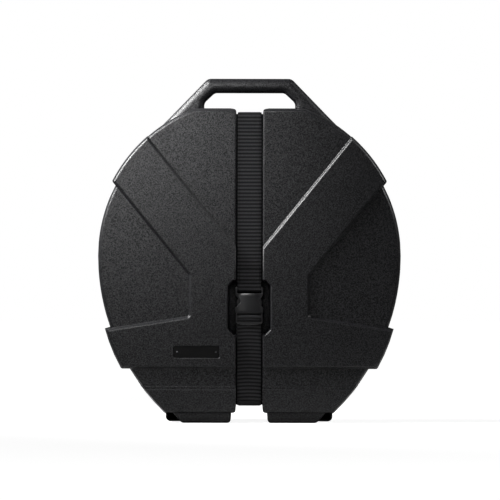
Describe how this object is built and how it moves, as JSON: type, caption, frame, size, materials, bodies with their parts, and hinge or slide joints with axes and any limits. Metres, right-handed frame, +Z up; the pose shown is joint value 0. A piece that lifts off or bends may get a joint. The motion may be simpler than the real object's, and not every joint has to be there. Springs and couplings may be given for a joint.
{
  "type": "cymbal case",
  "caption": "upright moulded hard case for a stack of cymbals, with two shells that part front and back, a moulded handle, a webbing strap with a side-release buckle and a clamping post inside",
  "frame": {"origin": "centre of the bounding box in X and Y, at the floor under the feet", "axes": "+X to the viewer's right when looking at the lid, +Y from the lid to the back of the case, +Z up through the handle"},
  "size_m": [0.64, 0.172, 0.725],
  "materials": {
    "base_shell": "black moulded polyethylene with a fine pebble texture",
    "lid_shell": "black moulded polyethylene with a fine pebble texture",
    "foam": "dark grey closed-cell foam",
    "webbing": "black ribbed polypropylene webbing",
    "buckle": "black moulded acetal, satin",
    "label_plate": "bare black plate, satin",
    "rivet": "plain aluminium",
    "steel": "zinc-plated steel",
    "felt": "dense grey felt",
    "sleeve": "black nylon tube"
  },
  "bodies": {
    "base": {"base_shell": "base_shell", "base_pad": "foam", "base_side_pad_left": "foam", "base_side_pad_right": "foam", "post_plate": "steel", "post_bolt": "steel", "lock_nut": "steel", "cup_washer": "steel", "lower_felt": "felt", "post_sleeve": "sleeve", "strap_back": "webbing", "strap_rivet_1": "steel", "strap_rivet_2": "steel", "rivet_washer_1": "steel", "rivet_washer_2": "steel"},
    "lid": {"lid_shell": "lid_shell", "lid_pad": "foam", "lid_side_pad_left": "foam", "lid_side_pad_right": "foam", "label_plate": "label_plate", "label_rivet_1": "rivet", "label_rivet_2": "rivet", "strap_upper": "webbing", "strap_lower": "webbing", "strap_top_run": "webbing", "strap_low_run": "webbing", "buckle_socket": "buckle", "buckle_plug": "buckle"},
    "arm_left": {"buckle_arm_left": "buckle"},
    "arm_right": {"buckle_arm_right": "buckle"},
    "wing_nut": {"wing_nut": "steel"},
    "clamp": {"clamp_washer": "steel", "upper_felt": "felt"}
  },
  "joints": [
    {"name": "lid_lift", "type": "slide", "parent": "base", "child": "lid", "axis": [0, -1, 0], "range_m": [0, 0.1], "deforming": ["strap_top_run", "strap_low_run"]},
    {"name": "arm_left_press", "type": "hinge", "parent": "lid", "child": "arm_left", "pos_m": [-0.018, -0.07225, 0.2368], "axis": [0, 1, 0], "range_deg": [0, 9], "stiffness_Nm_per_rad": 0.2},
    {"name": "arm_right_press", "type": "hinge", "parent": "lid", "child": "arm_right", "pos_m": [0.018, -0.07225, 0.2368], "axis": [0, -1, 0], "range_deg": [0, 9], "stiffness_Nm_per_rad": 0.2},
    {"name": "clamp_slide", "type": "slide", "parent": "base", "child": "clamp", "axis": [0, -1, 0], "range_m": [0, 0.04]},
    {"name": "nut_spin", "type": "hinge", "parent": "clamp", "child": "wing_nut", "pos_m": [0, 0.0315, 0.35], "axis": [0, -1, 0], "range_deg": [0, 11520]}
  ],
  "couplings": [
    {"joint": "nut_spin", "follows": "clamp_slide", "rad_per_m": 5026.5}
  ]
}
